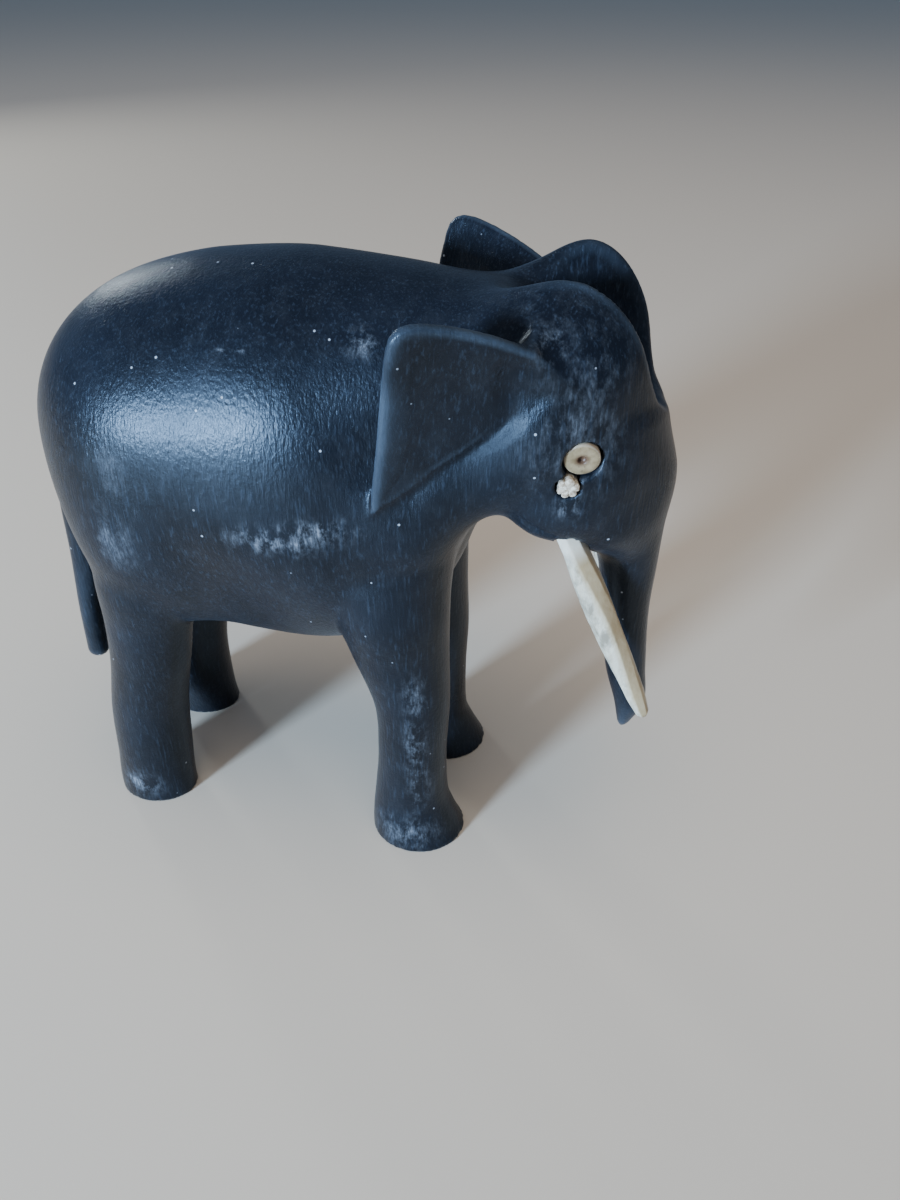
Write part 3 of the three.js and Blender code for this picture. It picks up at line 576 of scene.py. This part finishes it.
shader = add(tree, "ShaderNodeBsdfPrincipled", {
    "Base Color": wood, "Roughness": gloss, "Normal": relief, "IOR": 1.5,
    "Specular IOR Level": 0.3, "Specular Tint": (0.66, 0.82, 1, 1),
    "Sheen Weight": 0.02, "Sheen Roughness": 0.5, "Sheen Tint": (0.5, 0.7, 1, 1),
})
add(tree, "ShaderNodeOutputMaterial", {"Surface": shader.outputs[0]})
elephant.data.materials.clear()
elephant.data.materials.append(ebony)
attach(elephant, "root")
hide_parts("carving")

# The tusks
# Two whittled splinters of bone, each pushed into a socket bored under the cheek and tapering to
# a blunt tip. The knife's flats run along them, and one side of each is coloured tan.

TUSK_LENGTH = 0.042
TUSK_GIRTH = 0.005
TUSK_TIP_DIAMETER = 0.0024
TUSK_FLATS = 7
TUSK_AROUND = 84
TUSK_RINGS = 150


def closed_rings(rings):
    around = len(rings[0])
    places = [rings[0].mean(0)]
    for ring in rings:
        places.extend(ring)
    places.append(rings[-1].mean(0))
    last = len(places) - 1
    faces = []
    for n in range(around):
        m = (n + 1) % around
        faces.append((0, 1 + m, 1 + n))
        for k in range(len(rings) - 1):
            a = 1 + k * around
            faces.append((a + n, a + m, a + around + m, a + around + n))
        a = 1 + (len(rings) - 1) * around
        faces.append((a + n, a + m, last))
    return np.array(places), faces


def across_of(aim):
    first = Vector((0, 1, 0)).cross(aim).normalized()
    return np.array(first), np.array(aim.cross(first))


def ring_at(place, radii, turn, first, second):
    around = np.cos(turn)[:, None] * first + np.sin(turn)[:, None] * second
    return np.array(place) + radii[:, None] * around


def ripple(seed, t, waves):
    rng = np.random.default_rng(seed)
    total = np.zeros(np.shape(t))
    for n in range(1, waves + 1):
        total += rng.normal() * np.sin(n * t + rng.uniform(0, 2 * math.pi)) / n
    return total


bone = bpy.data.materials.new("whittled_bone")
tree = nodes_of(bone)
where = add(tree, "ShaderNodeTexCoord").outputs["Object"]
flank = add(tree, "ShaderNodeAttribute", attribute_name="flank").outputs["Fac"]
root_near = add(tree, "ShaderNodeAttribute", attribute_name="root").outputs["Fac"]
fibre = noise(tree, stretched(tree, where, (1, 1, 0.25)), 1500, 4, 0.6)
stain = noise(tree, stretched(tree, where, (1, 1, 0.5)), 330, 6, 0.7)
pale = mixed_colour(tree, span(tree, fibre, 0.3, 0.7), (0.52, 0.46, 0.34, 1), (0.72, 0.68, 0.55, 1))
pale = mixed_colour(tree, span(tree, stain, 0.46, 0.62, 0, 0.85), pale, (0.22, 0.19, 0.14, 1))
pale = mixed_colour(tree, span(tree, flank, 0.5, 0.85, 0, 0.8), pale, (0.42, 0.3, 0.15, 1))
pale = mixed_colour(tree, span(tree, root_near, 0.2, 1, 0, 0.7), pale, (0.74, 0.7, 0.6, 1))
relief = bumped(tree, fibre, 0.0001, 0.4)
relief = bumped(tree, stain, 0.00025, 0.4, relief)
shader = add(tree, "ShaderNodeBsdfPrincipled", {
    "Base Color": pale, "Roughness": span(tree, fibre, 0.3, 0.7, 0.42, 0.6), "Normal": relief,
    "Subsurface Weight": 0.1, "Subsurface Radius": (0.001, 0.0007, 0.0004), "Subsurface Scale": 0.5,
})
add(tree, "ShaderNodeOutputMaterial", {"Surface": shader.outputs[0]})

for side, name in ((RIGHT, "right"), (LEFT, "left")):
    seat, aim = TUSK_SEAT[side]
    first, second = across_of(aim)
    free = TUSK_LENGTH - TUSK_SOCKET_DEPTH
    root = TUSK_ROOT_DIAMETER / 2
    girth = TUSK_GIRTH / 2
    tip = TUSK_TIP_DIAMETER / 2
    profile = np.array([
        (-TUSK_SOCKET_DEPTH, root * 0.96), (0, root * 0.98), (free * 0.16, girth * 0.92),
        (free * 0.34, girth * 0.99), (free * 0.62, girth * 0.86), (free * 0.85, girth * 0.7),
        (free - tip * 0.8, tip * 0.97),
    ])
    turn = np.linspace(0, 2 * math.pi, TUSK_AROUND, endpoint=False)
    rings = []
    flanks = []
    for s in np.linspace(-TUSK_SOCKET_DEPTH, free - tip * 0.8, TUSK_RINGS):
        lean = turn + 0.25 * math.sin(s * 160 + side)
        flat = (lean * TUSK_FLATS / (2 * math.pi)) % 1 - 0.5
        facet = math.cos(math.pi / TUSK_FLATS) / np.cos(flat * 2 * math.pi / TUSK_FLATS)
        knife = 1 - 0.02 * np.abs(math.sin(s * 900)) * (np.cos(lean * 2 + s * 500) > 0)
        size = np.interp(s, *profile.T) * (0.1 + 0.9 * facet) * knife
        rings.append(ring_at(seat + SHIFT + aim * s, size, turn, first, second))
        flanks.append(-np.cos(lean - 0.7))
    rim = rings[-1] - rings[-1].mean(0)
    for s, share in ((free - tip * 0.45, 0.8), (free - tip * 0.1, 0.55)):
        rings.append(np.array(seat + SHIFT + aim * s) + rim * share)
        flanks.append(flanks[-1])
    places, faces = closed_rings(rings)
    tusk = mesh_object(f"bone_tusk_{name}", places, faces)
    attribute(tusk, "flank", np.concatenate([[0], *flanks, [0]]))
    away = (places - np.array(seat + SHIFT)) @ np.array(aim)
    attribute(tusk, "root", 1 - np.clip(away / 0.004, 0, 1))
    tusk.data.materials.append(bone)
    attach(tusk, "root")
    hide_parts(f"tusk_{name}")

# The eyes
# Two thin discs of tan bone, cut across a hollow and pushed into slightly wider bored recesses, a
# little below the rim. The marrow hole makes the pupil, dark and reddish inside.

PUPIL_DIAMETER = 0.0012
PUPIL_DEPTH = 0.0007
EYE_AROUND = 72

horn = bpy.data.materials.new("tan_bone_disc")
tree = nodes_of(horn)
where = add(tree, "ShaderNodeTexCoord").outputs["Object"]
from_hole = add(tree, "ShaderNodeAttribute", attribute_name="from_hole").outputs["Fac"]
speck = noise(tree, where, 1700, 4, 0.65)
patch = noise(tree, where, 700, 3, 0.55)
tan = mixed_colour(tree, span(tree, patch, 0.35, 0.65), (0.2, 0.14, 0.07, 1), (0.36, 0.27, 0.155, 1))
tan = mixed_colour(tree, span(tree, speck, 0.58, 0.72, 0, 0.7), tan, (0.09, 0.055, 0.03, 1))
tan = mixed_colour(tree, span(tree, from_hole, 0.23, 0.5, 0.85, 0), tan, (0.075, 0.026, 0.014, 1))
# The disc's outer edge is painted lighter all round: a painted highlight on the rim
tan = mixed_colour(tree, span(tree, from_hole, 0.9, 1, 0, 0.6), tan, (0.5, 0.42, 0.32, 1))
shader = add(tree, "ShaderNodeBsdfPrincipled", {
    "Base Color": tan, "Roughness": span(tree, speck, 0.3, 0.7, 0.3, 0.5),
    "Normal": bumped(tree, speck, 0.00008, 0.5),
})
add(tree, "ShaderNodeOutputMaterial", {"Surface": shader.outputs[0]})

for side, name in ((RIGHT, "right"), (LEFT, "left")):
    seat, out = EYE_SEAT[side]
    first, second = across_of(out)
    rim = EYE_DIAMETER / 2
    pupil = PUPIL_DIAMETER / 2
    face = -EYE_SINK * 0.6
    turn = np.linspace(0, 2 * math.pi, EYE_AROUND, endpoint=False)
    profile = [
        (rim * 0.5, face - EYE_THICKNESS), (rim, face - EYE_THICKNESS), (rim, face - 0.0004),
        (rim, face - 0.00016), (rim - 0.00012, face - 0.00004),
        (rim * 0.82, face), (rim * 0.6, face), (pupil * 1.6, face),
        (pupil * 1.15, face - 0.00005), (pupil, face - 0.00016), (pupil * 0.85, face - PUPIL_DEPTH),
        (pupil * 0.4, face - PUPIL_DEPTH),
    ]
    rings = []
    for n, (radius, height) in enumerate(profile):
        wobble = 1 - 0.012 * np.abs(ripple(3 + side, turn, 6)) if n > 2 else np.ones(EYE_AROUND)
        rings.append(ring_at(seat + SHIFT + out * height, radius * wobble, turn, first, second))
    places, faces = closed_rings(rings)
    disc = mesh_object(f"bone_eye_{name}", places, faces)
    rel = places - np.array(seat + SHIFT)
    away = np.linalg.norm(rel - np.outer(rel @ np.array(out), np.array(out)), axis=1)
    attribute(disc, "from_hole", away / rim)
    disc.data.materials.append(horn)
    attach(disc, "root")
    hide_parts(f"eye_{name}")

# The cheek plug
# A crumb of off-white filler pressed into a small bored hole below the right eye, broken into
# lobes round its edge and standing a little proud of the wood.

filler = bpy.data.materials.new("crumbly_filler")
tree = nodes_of(filler)
where = add(tree, "ShaderNodeTexCoord").outputs["Object"]
crumb = noise(tree, where, 1500, 4, 0.7)
chalky = mixed_colour(tree, span(tree, crumb, 0.36, 0.62), (0.3, 0.2, 0.12, 1), (0.82, 0.74, 0.6, 1))
shader = add(tree, "ShaderNodeBsdfPrincipled", {
    "Base Color": chalky, "Roughness": span(tree, crumb, 0.3, 0.7, 0.7, 0.9),
    "Normal": bumped(tree, crumb, 0.0003, 0.8),
})
add(tree, "ShaderNodeOutputMaterial", {"Surface": shader.outputs[0]})

PLUG_AROUND = 90
PLUG_LOBES = 6

seat, out = PLUG_SEAT
first, second = across_of(out)
turn = np.linspace(0, 2 * math.pi, PLUG_AROUND, endpoint=False)
lobe = np.abs(np.sin(PLUG_LOBES / 2 * turn + 0.4 * np.sin(turn))) ** 0.6
lobes = 0.8 + 0.28 * lobe - 0.03 * np.abs(ripple(11, turn, 9))
rings = []
radius = PLUG_DIAMETER / 2
foot = PLUG_PROUD - PLUG_LENGTH
profile = [
    (0.4, foot), (0.9, foot), (0.97, 0), (1, PLUG_PROUD * 0.3), (0.97, PLUG_PROUD * 0.65),
    (0.86, PLUG_PROUD * 0.9), (0.66, PLUG_PROUD), (0.45, PLUG_PROUD * 0.86), (0.22, PLUG_PROUD * 0.94),
]
for share, height in profile:
    rise = np.full(PLUG_AROUND, float(height))
    if height > 0:
        sunk = 1 - 0.75 * share * (1 - lobe)
        rise = height * sunk + 0.00009 * ripple(int(share * 100), turn, 8)
    lobed = 1 + (lobes - 1) * (height >= 0)
    ring = ring_at(seat + SHIFT, share * radius * lobed, turn, first, second)
    rings.append(ring + np.outer(np.minimum(rise, PLUG_PROUD), np.array(out)))
places, faces = closed_rings(rings)
plug = mesh_object("filler_plug", places, faces)
plug.data.materials.append(filler)
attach(plug, "root")
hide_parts("cheek_plug_right")

# The floor, the light and the camera
# A plain pale floor, a small cool light from the left behind the camera, a weak one from behind on
# the left for the rim of the back, and a wide warm one overhead.

floor_reach = 3
floor_corners = [(-floor_reach, -floor_reach, 0), (floor_reach, -floor_reach, 0)]
floor_corners += [(floor_reach, floor_reach, 0), (-floor_reach, floor_reach, 0)]
floor = mesh_object("floor", np.array(floor_corners), [(0, 1, 2, 3)])
floor_paint = bpy.data.materials.new("pale_floor")
tree = nodes_of(floor_paint)
shader = add(tree, "ShaderNodeBsdfPrincipled", {"Base Color": (0.68, 0.585, 0.47, 1), "Roughness": 0.6})
add(tree, "ShaderNodeOutputMaterial", {"Surface": shader.outputs[0]})
floor.data.materials.append(floor_paint)


def soft_light(name, direction, distance, size, power, colour):
    data = bpy.data.lights.new(name, "AREA")
    data.shape = "DISK"
    data.size = size
    data.energy = power
    data.color = colour
    lamp = bpy.data.objects.new(name, data)
    toward = Vector(direction).normalized()
    lamp.location = toward * distance + Vector((0, 0, 0.05))
    lamp.rotation_euler = toward.to_track_quat("Z", "Y").to_euler()
    bpy.context.scene.collection.objects.link(lamp)
    return lamp


soft_light("window", (-0.5, -0.85, 0.2), 0.9, 0.16, 25, (0.48, 0.7, 1))
soft_light("doorway", (-0.72, 0.63, 0.32), 0.9, 0.12, 1.1, (0.85, 0.95, 1))
overhead = soft_light("overhead", (0.1, -0.2, 1), 1.2, 1.2, 10, (1, 0.88, 0.74))
overhead.visible_glossy = False
world = bpy.data.worlds.new("room")
bpy.context.scene.world = world
tree = nodes_of(world)
sky = add(tree, "ShaderNodeBackground", {"Color": (0.46, 0.66, 1, 1), "Strength": 0.26})
add(tree, "ShaderNodeOutputWorld", {"Surface": sky.outputs[0]})

CAMERA_PLACE = Vector((41.94, -117.7, 132.73)) * SHARE
CAMERA_PITCH = math.radians(36.72)
CAMERA_TURN = math.radians(11.88)
PHOTO_FOCUS = 901.4
PHOTO_HEIGHT = 1200

camera_data = bpy.data.cameras.new("camera")
camera_data.sensor_width = 36
camera_data.lens = PHOTO_FOCUS / PHOTO_HEIGHT * camera_data.sensor_width
camera_data.clip_start = 0.005
camera = bpy.data.objects.new("camera", camera_data)
ahead = Vector((-math.sin(CAMERA_TURN), math.cos(CAMERA_TURN), 0))
right = Vector((math.cos(CAMERA_TURN), math.sin(CAMERA_TURN), 0))
up = ahead * math.sin(CAMERA_PITCH) + Vector((0, 0, 1)) * math.cos(CAMERA_PITCH)
back = Vector((0, 0, 1)) * math.sin(CAMERA_PITCH) - ahead * math.cos(CAMERA_PITCH)
turn_to = Matrix((right, up, back)).transposed()
camera.matrix_world = Matrix.Translation(CAMERA_PLACE + SHIFT) @ turn_to.to_4x4()
bpy.context.scene.collection.objects.link(camera)
bpy.context.scene.camera = camera
